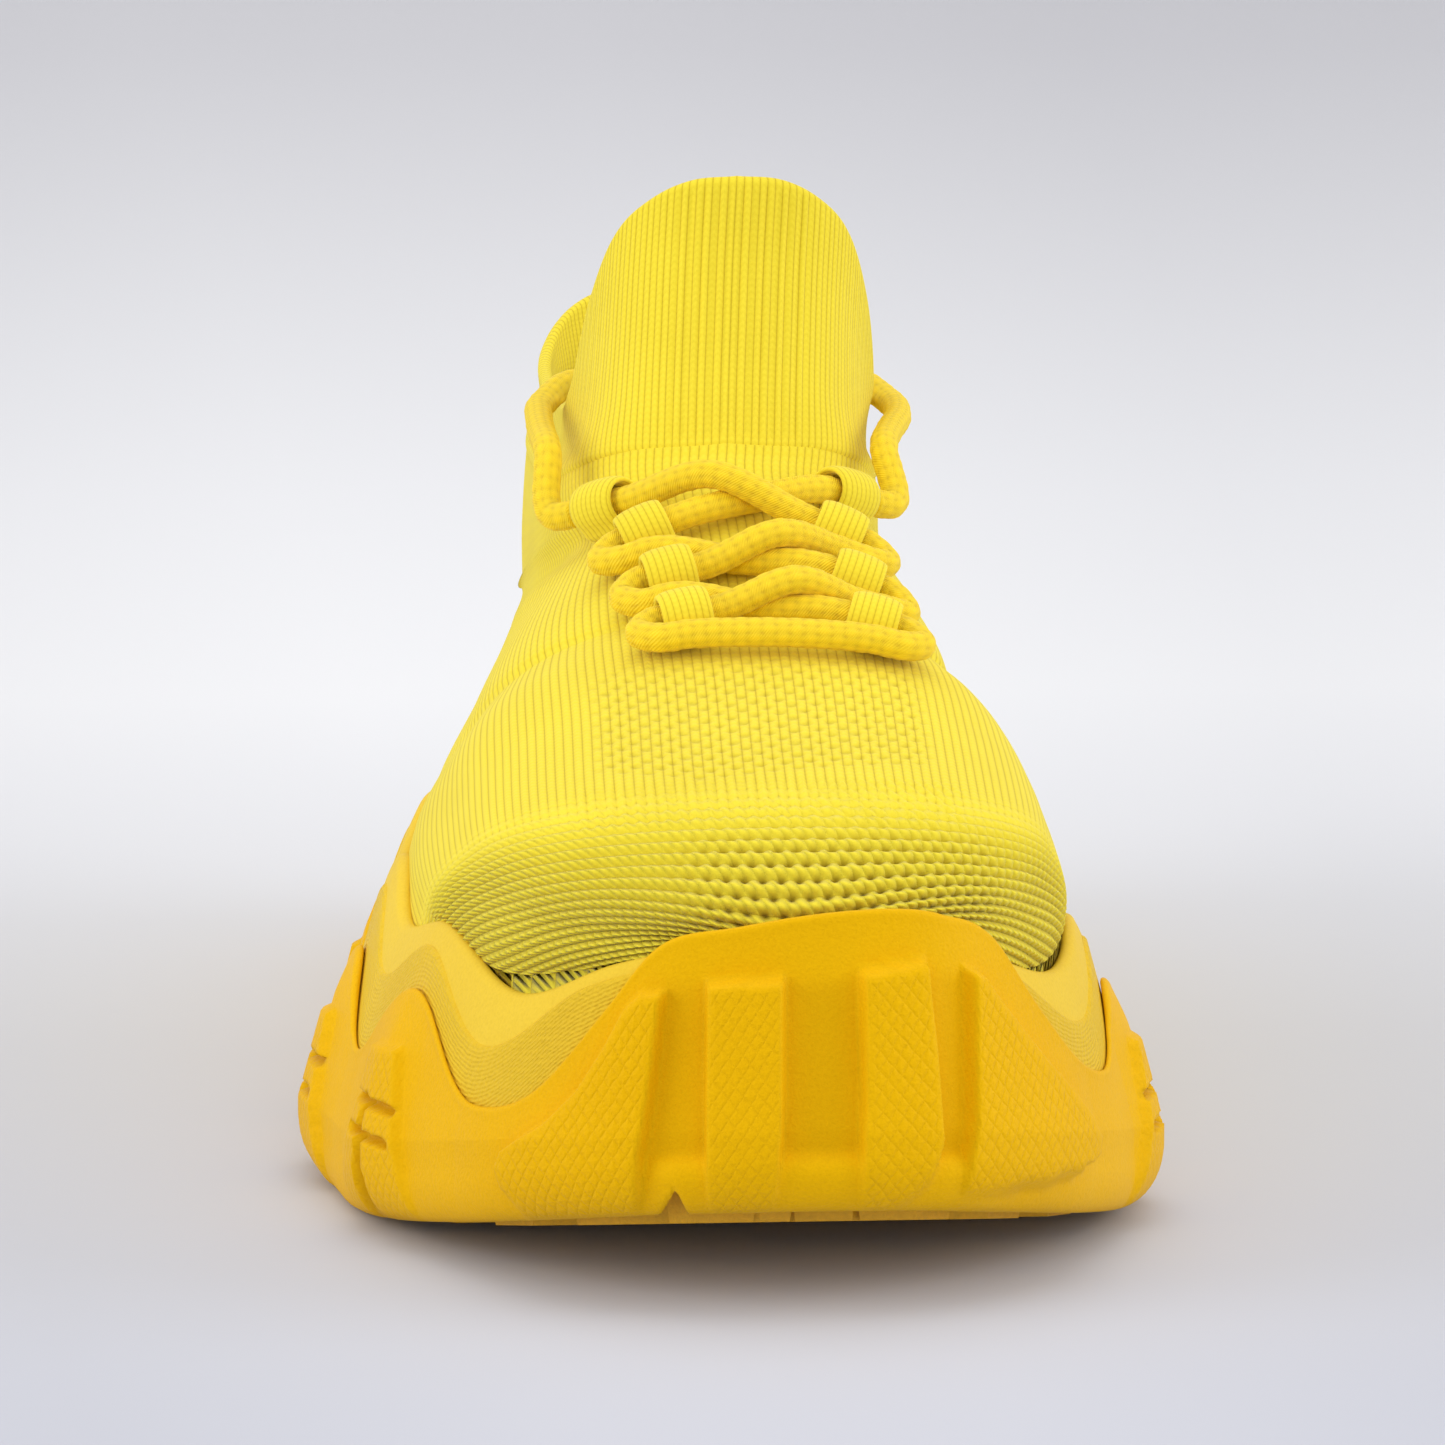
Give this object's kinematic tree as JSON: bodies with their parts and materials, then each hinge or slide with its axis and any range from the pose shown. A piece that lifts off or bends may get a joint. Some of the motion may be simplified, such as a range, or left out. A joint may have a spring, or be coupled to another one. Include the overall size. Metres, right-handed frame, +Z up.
{
  "type": "running shoe",
  "caption": "Right running shoe with a thick waved foam sole, a raised toe bumper, a one-piece knitted upper with a tall sock collar, and round cord lacing through webbing loops.",
  "frame": {"origin": "on the ground, at the centre of the footprint's bounding box", "axes": "+Z up, the toe points along -Y and the heel along +Y, +X is the medial side of this right shoe"},
  "size_m": [0.121, 0.29, 0.139],
  "materials": {
    "foam": "fine sanded moulded foam",
    "rubber": "matte moulded rubber",
    "knit": "flat knitted polyester",
    "webbing": "narrow woven webbing",
    "cord": "round braided polyester",
    "board": "stitched fibre board",
    "lining": "foam insole with a fabric face",
    "plastic": "thermoformed sheet or acetate"
  },
  "bodies": {
    "root": {"sole_cage": "foam", "midsole": "foam", "midsole_rim": "foam", "outsole_tread": "rubber", "arch_shank": "plastic", "lasting_board": "board", "insole": "lining", "knit_upper": "knit", "sock_collar": "knit", "toe_puff": "plastic", "heel_counter": "plastic", "lace_loop_lateral_1": "webbing", "lace_loop_lateral_2": "webbing", "lace_loop_lateral_3": "webbing", "lace_loop_lateral_4": "webbing", "lace_loop_medial_1": "webbing", "lace_loop_medial_2": "webbing", "lace_loop_medial_3": "webbing", "lace_loop_medial_4": "webbing", "lace_threaded": "cord", "lace_end_lateral": "cord", "lace_end_medial": "cord", "aglet_lateral": "plastic", "aglet_medial": "plastic"}
  },
  "joints": []
}
